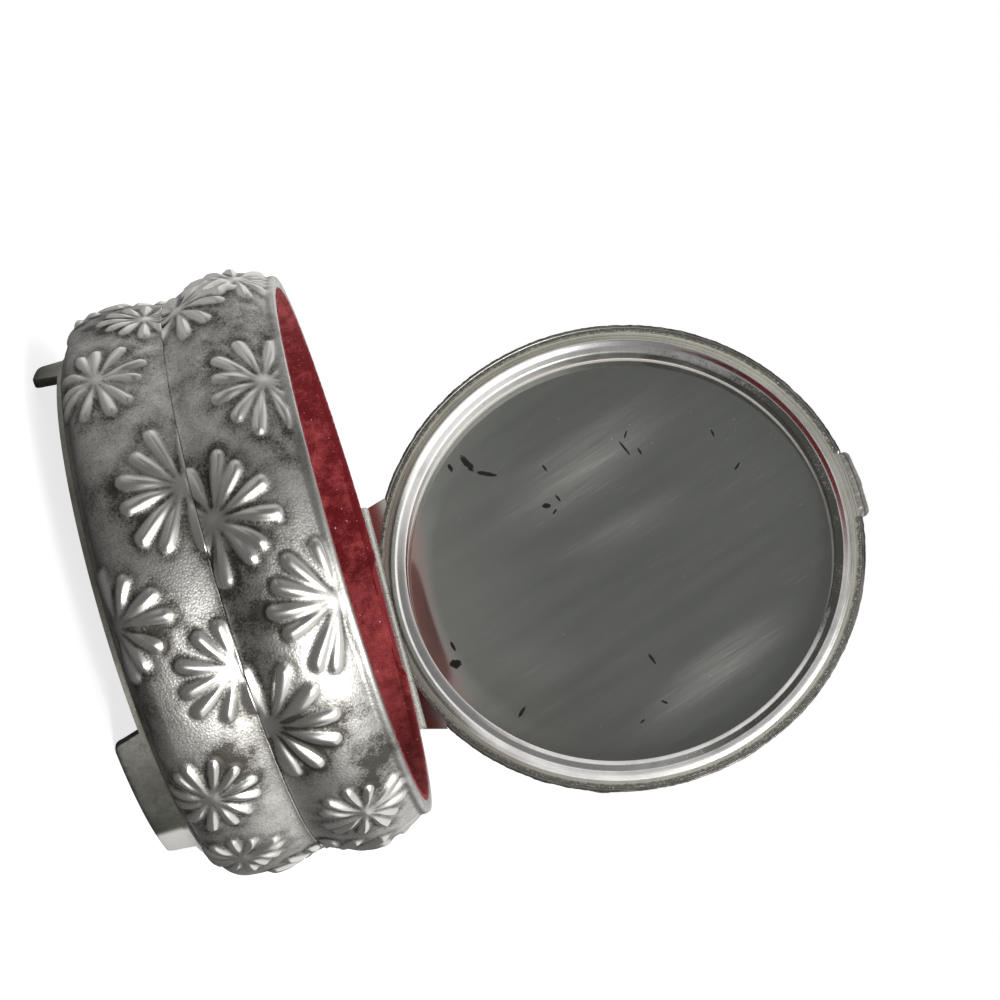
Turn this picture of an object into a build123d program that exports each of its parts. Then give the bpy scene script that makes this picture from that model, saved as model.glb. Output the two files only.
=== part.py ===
"""Round kumkum box: an embossed metal drum on three feet with a velvet lining,
and a hinged lid that holds a round mirror.

Millimetres, +Z up.  The box stands on its feet at z = 0 with its axis on Z, its front
towards -Y and its hinge at +Y.  The lid is modelled open, standing square to the mouth.
"""
import os
from math import cos, radians, sin

from build123d import *

# Clearances and cuts
overrun = 2.0
closing_gap = 0.2
running_clearance = 0.05
seat_clearance = 0.01
swing_clearance = 0.1
loose_fit = 0.1

# Drum: two bowed bands of embossed sheet, sized from the mouth's rim
rim_radius = 37.0
lower_band_height = 14.2
upper_band_height = 14.6
upper_bulge = 2.9
seam_rise = 0.8
lower_bulge = 2.3
lower_edge_rise = 1.3
lower_shoulder_radius = 3.2
band_wall = 0.6
rim_lip_width = 1.5
rim_lip_thickness = 0.6
lower_bulge_height_share = 0.55

# Base and feet
base_inset = 2.6
base_thickness = 0.8
base_overlap = 2.4
base_recess_depth = 0.3
base_recess_margin = 4.0
foot_inset = 0.2
foot_height = 3.6
foot_thickness = 1.2
foot_top_angle = 43.0
foot_tip_angle = 40.0
foot_corner_radius = 1.0
front_foot_angle = 67.5

# Inner cup and its lining
cup_wall = 0.4
lining_thickness = 0.6
lining_below_rim = 0.2
floor_card_thickness = 0.8
floor_velvet_thickness = 0.8

# Hinge
hinge_inset = 2.5
hinge_half_length = 17.4
barrel_radius = 0.7
pin_radius = 0.35
knuckle_count = 5
leaf_thickness = 0.6
body_leaf_drop = 3.0
lid_leaf_flare = 1.0
lid_leaf_depth = 3.5

# Lid
lid_reveal = 1.0
lid_depth = 5.3
lid_wall = 0.6
lid_dome_rise = 0.7
lid_shoulder_radius = 4.0
bezel_sheet = 0.4
bead_width = 2.2
mirror_drop = 2.6
mirror_thickness = 1.0
mirror_margin = 0.8
backing_thickness = 0.3
tab_half_width = 5.2
tab_reach = 1.1
tab_corner_radius = 0.8
tab_thickness = 0.6

# Levels and places that follow from the sizes
upper_bulge_radius = rim_radius + upper_bulge
seam_radius = rim_radius + seam_rise
lower_bulge_radius = rim_radius + lower_bulge
lower_edge_radius = rim_radius + lower_edge_rise
base_radius = rim_radius - base_inset
foot_radius = base_radius - foot_inset
base_top = foot_height + base_thickness
seam_height = base_top + lower_band_height
rim_height = seam_height + upper_band_height
hinge_height = rim_height + closing_gap / 2
lower_bulge_height = base_top + lower_bulge_height_share * lower_band_height
upper_bulge_height = seam_height + upper_band_height / 2
hinge_offset = rim_radius - hinge_inset
leaf_inner_y = hinge_offset + barrel_radius / 2 - swing_clearance / 2
cup_outer_radius = rim_radius - rim_lip_width
cup_flat = leaf_inner_y - band_wall
cup_floor_height = base_top + band_wall
cup_inner_radius = cup_outer_radius - cup_wall
lining_inner_radius = cup_inner_radius - lining_thickness
lining_floor = cup_floor_height + cup_wall
trough_radius = barrel_radius + swing_clearance
lid_radius = rim_radius - lid_reveal
bead_outer_radius = hinge_offset - barrel_radius - 2 * swing_clearance
bead_radius = bead_width / 2
bead_middle = bead_outer_radius - bead_radius
bezel_inner_radius = bead_outer_radius - bead_width
bezel_flange_radius = lid_radius - lid_wall
bezel_chord = hinge_offset - barrel_radius - swing_clearance
cover_chord = hinge_offset - closing_gap / 2
knuckle_pitch = 2 * hinge_half_length / knuckle_count

# Planes of the open lid: its face looks to the front, and X runs from hinge to tab
lid_centre = (0, hinge_offset + closing_gap / 2, hinge_height + hinge_offset)
lid_face = Plane(origin=lid_centre, x_dir=(0, 0, 1), z_dir=(0, -1, 0))
lid_section = Plane(origin=lid_centre, x_dir=(0, 0, 1), z_dir=(1, 0, 0))
lid_axis = Axis(lid_centre, (0, -1, 0))
hinge_start = Plane(origin=(-hinge_half_length, hinge_offset, hinge_height), x_dir=(0, 1, 0), z_dir=(1, 0, 0))


def d_outline(radius, flat):
    """A circle cut straight across at y = flat, where the hinge lies."""
    with BuildSketch() as outline:
        Circle(radius)
        with Locations((0, flat)):
            Rectangle(2 * radius, radius, align=(Align.CENTER, Align.MIN), mode=Mode.SUBTRACT)
    return outline.sketch


def upper_band_core(inset):
    """The solid within the upper band, drawn in by inset, with its back pressed flat for the hinge."""
    flat = leaf_inner_y - inset
    shelf = rim_height - body_leaf_drop
    reach = upper_bulge_radius - leaf_inner_y + overrun
    with BuildPart() as core:
        with BuildSketch(Plane.XZ):
            with BuildLine():
                ThreePointArc(
                    (seam_radius - inset, seam_height),
                    (upper_bulge_radius - inset, upper_bulge_height),
                    (rim_radius - inset, rim_height),
                )
                Polyline(
                    (rim_radius - inset, rim_height),
                    (0, rim_height),
                    (0, seam_height),
                    (seam_radius - inset, seam_height),
                )
            make_face()
        revolve(axis=Axis.Z)
        with BuildSketch(Plane.YZ):
            with BuildLine():
                Polyline(
                    (flat, shelf),
                    (flat, rim_height + overrun),
                    (flat + reach, rim_height + overrun),
                    (flat + reach, shelf - reach),
                    close=True,
                )
            make_face()
        extrude(amount=upper_bulge_radius + overrun, both=True, mode=Mode.SUBTRACT)
    return core.part


def lower_band_core(inset):
    """The solid within the lower band, drawn in by inset, with a rounded shoulder at its foot."""
    floor = base_top + inset
    with BuildPart() as core:
        with BuildSketch(Plane.XZ) as section:
            with BuildLine():
                ThreePointArc(
                    (seam_radius - inset, seam_height),
                    (lower_bulge_radius - inset, lower_bulge_height),
                    (lower_edge_radius - inset, floor),
                )
                Polyline(
                    (lower_edge_radius - inset, floor),
                    (0, floor),
                    (0, seam_height),
                    (seam_radius - inset, seam_height),
                )
            make_face()
            foot_corner = section.vertices().group_by(Axis.Y)[0].sort_by(Axis.X)[-1]
            fillet(foot_corner, radius=lower_shoulder_radius - inset)
        revolve(axis=Axis.Z)
    return core.part


def lid_core(inset):
    """The solid within the lid's domed dish, drawn in by inset, cut straight across along the hinge."""
    radius = lid_radius - inset
    depth = lid_depth - inset
    chord = cover_chord - inset
    shoulder = lid_shoulder_radius - inset
    shoulder_depth = depth - lid_dome_rise
    side_depth = shoulder_depth - shoulder
    with BuildPart() as core:
        with BuildSketch(lid_section):
            with BuildLine():
                Polyline((0, -depth), (0, 0), (radius, 0), (radius, -side_depth))
                TangentArc((radius, -side_depth), (radius - shoulder, -shoulder_depth), tangent=(0, -1))
                TangentArc((0, -depth), (radius - shoulder, -shoulder_depth), tangent=(1, 0))
            make_face()
        revolve(axis=lid_axis)
        with BuildSketch(lid_face.offset(overrun)):
            with Locations((-chord, 0)):
                Rectangle(radius, 2 * radius, align=(Align.MAX, Align.CENTER))
        extrude(amount=-(depth + 2 * overrun), mode=Mode.SUBTRACT)
    return core.part


def lid_leaf_outline():
    """The lid leaf's outline: a strip along the hinge whose ends flare towards the lid."""
    with BuildSketch() as outline:
        with BuildLine():
            Polyline(
                (-cover_chord, -hinge_half_length),
                (-cover_chord, hinge_half_length),
                (-cover_chord + lid_leaf_depth, hinge_half_length + lid_leaf_flare),
                (-cover_chord + lid_leaf_depth, -hinge_half_length - lid_leaf_flare),
                close=True,
            )
        make_face()
    return outline.sketch


def tab_outline():
    """The thumb tab's outline: its outer edge follows the lid's, and its two outer corners are rounded."""
    outer_radius = lid_radius + tab_reach
    with BuildSketch() as outline:
        Circle(outer_radius)
        with Locations((bead_outer_radius, 0)):
            Rectangle(outer_radius, 2 * tab_half_width, align=(Align.MIN, Align.CENTER), mode=Mode.INTERSECT)
        fillet(outline.vertices().group_by(Axis.X)[-1], radius=tab_corner_radius)
    return outline.sketch


def knuckle_spans(first):
    """Start and length of every second knuckle along the hinge, counted from its first end."""
    half_gap = swing_clearance / 2
    spans = []
    for index in range(first, knuckle_count, 2):
        start = index * knuckle_pitch + (half_gap if index > 0 else 0)
        end = (index + 1) * knuckle_pitch - (half_gap if index < knuckle_count - 1 else 0)
        spans.append((start, end - start))
    return spans


# Lower band: bowed sheet from the seam down to a rounded shoulder, turned in over the base plate
with BuildPart() as lower_band:
    add(lower_band_core(0))
    add(lower_band_core(band_wall), mode=Mode.SUBTRACT)
    with BuildSketch(Plane.XY.offset(base_top)):
        Circle(base_radius - base_overlap)
    extrude(amount=band_wall, mode=Mode.SUBTRACT)
lower_band.part.label = "lower_band"

# Upper band: bowed sheet with a turned-in lip at the mouth and a flat back
with BuildPart() as upper_band_inside:
    add(upper_band_core(band_wall))
    with BuildSketch(Plane.XY.offset(rim_height - rim_lip_thickness)):
        Circle(upper_bulge_radius)
    extrude(amount=rim_lip_thickness, mode=Mode.SUBTRACT)

with BuildPart() as upper_band:
    add(upper_band_core(0))
    add(upper_band_inside.part, mode=Mode.SUBTRACT)
    with BuildSketch(Plane.XY.offset(seam_height)):
        add(d_outline(cup_outer_radius, cup_flat))
    extrude(amount=upper_band_height, mode=Mode.SUBTRACT)
    with BuildSketch(hinge_start.offset(-swing_clearance)):
        Circle(trough_radius)
    extrude(amount=2 * (hinge_half_length + swing_clearance), mode=Mode.SUBTRACT)
upper_band.part.label = "upper_band"

# Base plate: a disc whose edge stands out as a thin lip, recessed below
with BuildPart() as base_plate:
    with BuildSketch(Plane.XY.offset(foot_height)):
        Circle(base_radius)
    extrude(amount=base_thickness)
    with BuildSketch(Plane.XY.offset(foot_height)):
        Circle(base_radius - base_recess_margin)
    extrude(amount=base_recess_depth, mode=Mode.SUBTRACT)
base_plate.part.label = "base_plate"


def make_foot(direction):
    """A curved plate under the base's edge, wider above than at its tip, centred on a direction
    given in degrees from the front."""
    outward = Plane(
        origin=(0, 0, 0),
        x_dir=(cos(radians(direction)), sin(radians(direction)), 0),
        z_dir=(sin(radians(direction)), -cos(radians(direction)), 0),
    )
    top_half = foot_radius * sin(radians(foot_top_angle / 2))
    tip_half = foot_radius * sin(radians(foot_tip_angle / 2))
    with BuildPart() as foot:
        with BuildSketch():
            Circle(foot_radius)
            Circle(foot_radius - foot_thickness, mode=Mode.SUBTRACT)
        extrude(amount=foot_height)
        with BuildSketch(outward) as front_view:
            with BuildLine():
                Polyline(
                    (-tip_half, 0),
                    (tip_half, 0),
                    (top_half, foot_height),
                    (-top_half, foot_height),
                    close=True,
                )
            make_face()
            fillet(front_view.vertices().group_by(Axis.Y)[0], radius=foot_corner_radius)
        extrude(amount=foot_radius + overrun, mode=Mode.INTERSECT)
    return foot


foot_front_left = make_foot(-front_foot_angle)
foot_front_left.part.label = "foot_front_left"
foot_front_right = make_foot(front_foot_angle)
foot_front_right.part.label = "foot_front_right"
foot_back = make_foot(180)
foot_back.part.label = "foot_back"

# Inner cup: a drawn insert with a flat back, its top edge level with the rim
with BuildPart() as inner_cup:
    with BuildSketch(Plane.XY.offset(cup_floor_height)):
        add(d_outline(cup_outer_radius, cup_flat))
    extrude(amount=rim_height - cup_floor_height)
    with BuildSketch(Plane.XY.offset(lining_floor)):
        add(d_outline(cup_inner_radius, cup_flat - cup_wall))
    extrude(amount=rim_height - lining_floor, mode=Mode.SUBTRACT)
    with BuildSketch(hinge_start.offset(-swing_clearance)):
        Circle(trough_radius)
    extrude(amount=2 * (hinge_half_length + swing_clearance), mode=Mode.SUBTRACT)
inner_cup.part.label = "inner_cup"

# Wall lining: velvet on the cup's wall, lower at the back where the lid's bead comes in
with BuildPart() as wall_lining:
    with BuildSketch(Plane.XY.offset(lining_floor)):
        add(d_outline(cup_inner_radius, cup_flat - cup_wall))
        add(d_outline(lining_inner_radius, cup_flat - cup_wall - lining_thickness), mode=Mode.SUBTRACT)
    extrude(amount=rim_height - lining_below_rim - lining_floor)
    with BuildSketch(Plane.XY.offset(hinge_height - 2 * barrel_radius)):
        Circle(bead_outer_radius + 2 * swing_clearance)
    extrude(amount=2 * barrel_radius, mode=Mode.SUBTRACT)
    with BuildSketch(hinge_start.offset(-swing_clearance)):
        Circle(trough_radius)
    extrude(amount=2 * (hinge_half_length + swing_clearance), mode=Mode.SUBTRACT)
wall_lining.part.label = "wall_lining"

# Floor card and the velvet on it
floor_outline = d_outline(lining_inner_radius - loose_fit, cup_flat - cup_wall - lining_thickness - loose_fit)
with BuildPart() as floor_card:
    with BuildSketch(Plane.XY.offset(lining_floor)):
        add(floor_outline)
    extrude(amount=floor_card_thickness)
floor_card.part.label = "floor_card"

with BuildPart() as floor_velvet:
    with BuildSketch(Plane.XY.offset(lining_floor + floor_card_thickness)):
        add(floor_outline)
    extrude(amount=floor_velvet_thickness)
floor_velvet.part.label = "floor_velvet"

# Body hinge leaf: a strip down the flat back, with every second knuckle from the ends
with BuildPart() as body_hinge_leaf:
    with BuildSketch(hinge_start):
        with Locations((leaf_inner_y - hinge_offset, -closing_gap / 2)):
            Rectangle(leaf_thickness, body_leaf_drop, align=(Align.MIN, Align.MAX))
    extrude(amount=2 * hinge_half_length)
    for start, length in knuckle_spans(1):
        with BuildSketch(hinge_start.offset(start - swing_clearance)):
            Circle(trough_radius)
        extrude(amount=length + 2 * swing_clearance, mode=Mode.SUBTRACT)
    for start, length in knuckle_spans(0):
        with BuildSketch(hinge_start.offset(start)):
            Circle(barrel_radius)
            Rectangle(barrel_radius, barrel_radius, align=(Align.MIN, Align.MAX))
        extrude(amount=length)
    with BuildSketch(hinge_start):
        Circle(pin_radius + seat_clearance)
    extrude(amount=2 * hinge_half_length, mode=Mode.SUBTRACT)
body_hinge_leaf.part.label = "body_hinge_leaf"

# Hinge pin
with BuildPart() as hinge_pin:
    with BuildSketch(hinge_start):
        Circle(pin_radius)
    extrude(amount=2 * hinge_half_length)
hinge_pin.part.label = "hinge_pin"

# Lid hinge leaf: a flared plate under the bezel's flange, with the knuckles between the body's
with BuildPart() as lid_hinge_leaf:
    with BuildSketch(lid_face.offset(-bezel_sheet)):
        add(lid_leaf_outline())
        Circle(bead_outer_radius - bezel_sheet, mode=Mode.SUBTRACT)
    extrude(amount=-leaf_thickness)
    for start, length in knuckle_spans(0):
        with BuildSketch(hinge_start.offset(start - swing_clearance)):
            Circle(trough_radius + swing_clearance)
        extrude(amount=length + 2 * swing_clearance, mode=Mode.SUBTRACT)
    for start, length in knuckle_spans(1):
        with BuildSketch(hinge_start.offset(start)):
            Circle(barrel_radius)
            Rectangle(barrel_radius, barrel_radius, align=(Align.MIN, Align.MIN))
        extrude(amount=length)
    with BuildSketch(hinge_start):
        Circle(pin_radius + running_clearance)
    extrude(amount=2 * hinge_half_length, mode=Mode.SUBTRACT)
lid_hinge_leaf.part.label = "lid_hinge_leaf"

# Lid cover: the embossed outer dish, notched for the leaf and the tab
with BuildPart() as lid_cover:
    add(lid_core(0))
    add(lid_core(lid_wall), mode=Mode.SUBTRACT)
    with BuildSketch(lid_face):
        add(lid_leaf_outline())
    extrude(amount=-(bezel_sheet + leaf_thickness), mode=Mode.SUBTRACT)
    with BuildSketch(lid_face):
        add(tab_outline())
    extrude(amount=-(bezel_sheet + tab_thickness), mode=Mode.SUBTRACT)
lid_cover.part.label = "lid_cover"

# Lid bezel: spun ring with a flat flange, a hollow bead and a wall down to the mirror
with BuildPart() as lid_bezel:
    with BuildSketch(lid_section):
        with BuildLine():
            Polyline(
                (bezel_inner_radius, 0),
                (bezel_inner_radius, -mirror_drop),
                (bezel_inner_radius + bezel_sheet, -mirror_drop),
                (bezel_inner_radius + bezel_sheet, 0),
            )
            ThreePointArc(
                (bezel_inner_radius + bezel_sheet, 0),
                (bead_middle, bead_radius - bezel_sheet),
                (bead_outer_radius - bezel_sheet, 0),
            )
            Polyline(
                (bead_outer_radius - bezel_sheet, 0),
                (bead_outer_radius - bezel_sheet, -bezel_sheet),
                (bezel_flange_radius, -bezel_sheet),
                (bezel_flange_radius, 0),
                (bead_outer_radius, 0),
            )
            ThreePointArc((bead_outer_radius, 0), (bead_middle, bead_radius), (bezel_inner_radius, 0))
        make_face()
    revolve(axis=lid_axis)
    with BuildSketch(lid_face):
        with Locations((-bezel_chord, 0)):
            Rectangle(lid_radius, 2 * lid_radius, align=(Align.MAX, Align.CENTER))
    extrude(amount=-2 * bezel_sheet, mode=Mode.SUBTRACT)
lid_bezel.part.label = "lid_bezel"

# Mirror and its backing card
with BuildPart() as mirror_glass:
    with BuildSketch(lid_face.offset(-mirror_drop)):
        Circle(bezel_inner_radius + mirror_margin)
    extrude(amount=-mirror_thickness)
mirror_glass.part.label = "mirror_glass"

with BuildPart() as mirror_backing:
    with BuildSketch(lid_face.offset(-mirror_drop - mirror_thickness)):
        Circle(bezel_inner_radius + mirror_margin)
    extrude(amount=-backing_thickness)
mirror_backing.part.label = "mirror_backing"

# Thumb tab at the lid's front
with BuildPart() as thumb_tab:
    with BuildSketch(lid_face.offset(-bezel_sheet)):
        add(tab_outline())
    extrude(amount=-tab_thickness)
thumb_tab.part.label = "thumb_tab"

os.makedirs("parts", exist_ok=True)
for piece in (
    lower_band,
    upper_band,
    base_plate,
    foot_front_left,
    foot_front_right,
    foot_back,
    inner_cup,
    wall_lining,
    floor_card,
    floor_velvet,
    body_hinge_leaf,
    hinge_pin,
    lid_hinge_leaf,
    lid_cover,
    lid_bezel,
    mirror_glass,
    mirror_backing,
    thumb_tab,
):
    export_step(piece.part, f"parts/{piece.part.label}.step")
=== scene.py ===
"""Looks of the round kumkum box: an embossed silver drum and lid, a crimson velvet lining and an aged mirror.

Lengths are written in millimetres and made metres where a mesh is filled.
"""
import functools
import math

import bmesh
import bpy
import numpy as np
from mathutils import Matrix


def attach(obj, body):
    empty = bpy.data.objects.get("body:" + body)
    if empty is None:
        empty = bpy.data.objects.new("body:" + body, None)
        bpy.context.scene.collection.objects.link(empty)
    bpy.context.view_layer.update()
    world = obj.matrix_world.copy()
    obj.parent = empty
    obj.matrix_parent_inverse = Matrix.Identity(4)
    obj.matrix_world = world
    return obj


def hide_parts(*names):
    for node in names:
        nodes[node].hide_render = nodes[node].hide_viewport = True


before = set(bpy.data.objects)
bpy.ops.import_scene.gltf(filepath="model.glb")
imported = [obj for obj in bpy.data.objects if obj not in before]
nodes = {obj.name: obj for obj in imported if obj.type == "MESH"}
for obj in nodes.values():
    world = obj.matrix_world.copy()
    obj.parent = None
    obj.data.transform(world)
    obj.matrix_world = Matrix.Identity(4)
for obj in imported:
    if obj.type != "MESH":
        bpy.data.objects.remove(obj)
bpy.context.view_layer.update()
scene = bpy.context.scene

MM = 0.001

# The drum's and the lid's sizes, as in the solids, apart from the bead's shift
RIM_RADIUS = 37.0
UPPER_BULGE_RADIUS = 39.9
SEAM_RADIUS = 37.8
LOWER_BULGE_RADIUS = 39.3
LOWER_EDGE_RADIUS = 38.3
LOWER_SHOULDER = 3.2
BAND_WALL = 0.6
LIP_INNER_RADIUS = 35.5
BASE_TOP = 4.4
SEAM_HEIGHT = 18.6
RIM_HEIGHT = 33.2
HINGE_Y = 34.5
HINGE_Z = 33.3
HINGE_HALF = 17.4
TROUGH_RADIUS = 0.8
LEAF_Y = 34.8
SHELF_Z = 30.2
LID_Y = 34.6
LID_Z = 67.8
LID_RADIUS = 36.0
LID_DEPTH = 5.3
LID_CHORD = 34.4
BEAD_INNER = 31.4
BEAD_OUTER = 33.6
BEZEL_SHEET = 0.4
BEAD_SHIFT = 0.35
BEZEL_CHORD = 33.7
MIRROR_DROP = 2.6

# The embossed sheet: how deep its ground lies under the plain profile, the relief that stands on it, and the
# radius at which a band is laid flat
GROUND_DEPTH = 0.62
RELIEF_HEIGHT = 0.6
GROOVE_DEPTH = 0.22
GROOVE_WIDTH = 0.45
FILM_WIDTH = 1.2
BAND_COLUMNS = 1100
FLAT_RADIUS = 39.0


# Meshes


def smooth(x, low, high):
    """Smoothstep: 3u^2 - 2u^3 of how far x has come from low to high."""
    u = np.clip((x - low) / (high - low), 0.0, 1.0)
    return u * u * (3.0 - 2.0 * u)


def speckle(x, y, scale, seed):
    """Value noise from -1 to 1: random numbers on a square lattice of cells of one scale, blended by smoothstep."""
    period = 256
    table = np.random.default_rng(seed).uniform(-1.0, 1.0, (period + 1, period + 1))
    u, v = np.asarray(x) / scale, np.asarray(y) / scale
    i, j = np.floor(u).astype(int), np.floor(v).astype(int)
    a, b = smooth(u - i, 0, 1), smooth(v - j, 0, 1)
    i, j, i_next, j_next = i % period, j % period, (i + 1) % period, (j + 1) % period
    low = table[i, j] * (1 - a) + table[i_next, j] * a
    high = table[i, j_next] * (1 - a) + table[i_next, j_next] * a
    return low * (1 - b) + high * b


def pebbles(x, y, seed):
    """The ground's grain: noise with cells of 0.42 mm and noise with cells of 0.24 mm, half of each."""
    return 0.5 * speckle(x, y, 0.42, seed) + 0.5 * speckle(x, y, 0.24, seed + 1)


def round_angles(columns):
    """The columns' angles in a shape that closes round."""
    return np.linspace(0, 2 * math.pi, columns, endpoint=False)


def spread(values, columns):
    """One value for each row, repeated over the columns."""
    return values[:, None] * np.ones((1, columns))


def with_inner(values, inner):
    """A sheet's outer rows, followed by its inner side's plain rows."""
    return np.concatenate([values, spread(inner, values.shape[1])])


def about_axis(radius, angle, level):
    """Points at a radius and an angle about the drum's axis, and at a level."""
    return np.stack([radius * np.cos(angle), radius * np.sin(angle), level], axis=-1)


def new_object(name, data):
    """An object in the scene that shows the data."""
    thing = bpy.data.objects.new(name, data)
    scene.collection.objects.link(thing)
    return thing


def grid_piece(name, points, finish, body, node, around=True, ends_meet=True, values=None, crease=None):
    """A piece from a grid of points in millimetres, which rides on a body, stands for a node and has a slot.

    Columns close round when around is set, and rows when ends_meet is set. Points that fall together,
    as at a pole, are merged, and the faces are turned so that the shell's signed volume is positive.
    Edges that turn by more than the crease angle stay sharp.
    """
    rows, columns = points.shape[:2]
    index = np.arange(rows * columns).reshape(rows, columns)
    if around:
        index = np.concatenate([index, index[:, :1]], axis=1)
    if ends_meet:
        index = np.concatenate([index, index[:1]], axis=0)
    quads = np.stack([index[:-1, :-1], index[:-1, 1:], index[1:, 1:], index[1:, :-1]], axis=-1).reshape(-1, 4)
    places = points.reshape(-1, 3) * MM
    a, b, c, d = (places[quads[:, k]] for k in range(4))
    volume = (np.cross(a, b) * c).sum() + (np.cross(a, c) * d).sum()
    if volume < 0:
        quads = quads[:, ::-1]
    mesh = bpy.data.meshes.new(name)
    mesh.vertices.add(len(places))
    mesh.vertices.foreach_set("co", places.ravel())
    mesh.loops.add(quads.size)
    mesh.loops.foreach_set("vertex_index", quads.ravel().astype(np.int32))
    mesh.polygons.add(len(quads))
    mesh.polygons.foreach_set("loop_start", np.arange(0, quads.size, 4, dtype=np.int32))
    mesh.update(calc_edges=True)
    for key, value in (values or {}).items():
        layer = mesh.attributes.new(key, "FLOAT", "POINT")
        layer.data.foreach_set("value", np.broadcast_to(value, (rows, columns)).astype(np.float32).ravel())
    work = bmesh.new()
    work.from_mesh(mesh)
    bmesh.ops.remove_doubles(work, verts=work.verts, dist=1e-7)
    bmesh.ops.dissolve_degenerate(work, edges=work.edges, dist=1e-8)
    work.to_mesh(mesh)
    work.free()
    mesh.polygons.foreach_set("use_smooth", np.ones(len(mesh.polygons), dtype=bool))
    if crease:
        mesh.set_sharp_from_angle(angle=math.radians(crease))
    mesh.materials.append(finish)
    mesh.update()
    piece = new_object(name, mesh)
    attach(piece, body)
    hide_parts(node)
    return piece


def arc_through(start, middle, end, count):
    """Points on the circle through three points, evenly turned from start to end."""
    (ax, ay), (bx, by), (cx, cy) = start, middle, end
    lines = np.array([[bx - ax, by - ay], [cx - ax, cy - ay]]) * 2.0
    squares = np.array([bx**2 - ax**2 + by**2 - ay**2, cx**2 - ax**2 + cy**2 - ay**2])
    centre = np.linalg.solve(lines, squares)
    first = math.atan2(ay - centre[1], ax - centre[0])
    turn = (math.atan2(cy - centre[1], cx - centre[0]) - first + math.pi) % (2 * math.pi) - math.pi
    angle = first + turn * np.linspace(0, 1, count)
    radius = math.hypot(ax - centre[0], ay - centre[1])
    return np.c_[centre[0] + radius * np.cos(angle), centre[1] + radius * np.sin(angle)]


def even(path, count):
    """The path's points again at even arc lengths, and those lengths."""
    step = np.hypot(*np.diff(path, axis=0).T)
    run = np.concatenate([[0.0], np.cumsum(step)])
    want = np.linspace(0, run[-1], count)
    return np.c_[np.interp(want, run, path[:, 0]), np.interp(want, run, path[:, 1])], want


def side_normals(path):
    """Unit normals of a path in its plane: its tangent turned a quarter turn to the left."""
    tangent = np.gradient(path, axis=0)
    tangent /= np.linalg.norm(tangent, axis=1)[:, None]
    return np.c_[-tangent[:, 1], tangent[:, 0]]


# Embossed daisies


def daisy(x, y, reach, petals, turn, seed):
    """One daisy on a flat sheet: its relief, which is 1 on the petals' crests, and the film round it.

    Each petal is a tapered rod from the hub to a round tip. Across it the height is a parabola of the
    distance to its middle line, and outside the outline a narrow bell makes the groove. Lengths, bends
    and turns of the petals vary a little.
    """
    vary = np.random.default_rng(seed)
    pitch = 2 * math.pi / petals
    along_all = np.hypot(x, y)
    near = along_all < reach * 1.35
    angle = np.arctan2(y, x) - turn
    number = np.floor(angle / pitch + 0.5).astype(int) % petals
    length = reach * vary.uniform(0.86, 1.06, petals)[number]
    bend = vary.uniform(-0.05, 0.05, petals)[number]
    lean = vary.uniform(-0.09, 0.09, petals)[number]
    local = (angle + pitch / 2) % pitch - pitch / 2 - lean
    along = along_all * np.cos(local)
    across = along_all * np.sin(local) - bend * along_all**2 / reach
    full = (0.075 + 0.68 / petals) * reach
    start, end = 0.1 * reach, length - full
    share = np.clip((along - start) / (end - start), 0.0, 1.0)
    half_width = full * (0.24 + 0.76 * smooth(share, -0.05, 0.85))
    outline = np.hypot(along - (start + share * (end - start)), across) - half_width
    inside = np.clip(1.0 + outline / half_width, 0.0, 1.0)
    crest = (1.0 - inside**2) * (0.45 + 0.55 * smooth(share, 0.0, 0.75))
    outside = np.maximum(outline, 0.0)
    groove = np.exp(-((outside / GROOVE_WIDTH) ** 2)) * (outline > 0)
    hub = np.exp(-((along_all / (0.13 * reach)) ** 2))
    relief = np.where(outline < 0, crest - GROOVE_DEPTH * (1.0 - crest) ** 3, -GROOVE_DEPTH * groove)
    relief = np.where(hub > 0.2, np.maximum(relief, 0.5 * hub), relief)
    shade = np.exp(-((outside / FILM_WIDTH) ** 2)) * np.clip(1.0 - 1.6 * np.maximum(relief, 0.0), 0.0, 1.0)
    return np.where(near, relief, 0.0), np.where(near, shade, 0.0)


def daisy_field(x, y, daisies, wrap=None):
    """Relief and film of all daisies together.

    The relief is the highest crest where there is one, otherwise the deepest groove. The film is a wide
    bell round every outline, where the dark antiquing stays.
    """
    crest, groove, film = np.zeros_like(x), np.zeros_like(x), np.zeros_like(x)
    for number, (cx, cy, reach, petals, turn) in enumerate(daisies):
        dx = x - cx
        if wrap:
            dx = (dx + wrap / 2) % wrap - wrap / 2
        one, shade = daisy(dx, y - cy, reach, petals, math.radians(turn), 40 + number)
        crest = np.maximum(crest, one)
        groove = np.minimum(groove, one)
        film = np.maximum(film, shade)
    return np.where(crest > 0.02, crest, groove), film * np.clip(1.0 - 1.6 * crest, 0.0, 1.0)


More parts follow.
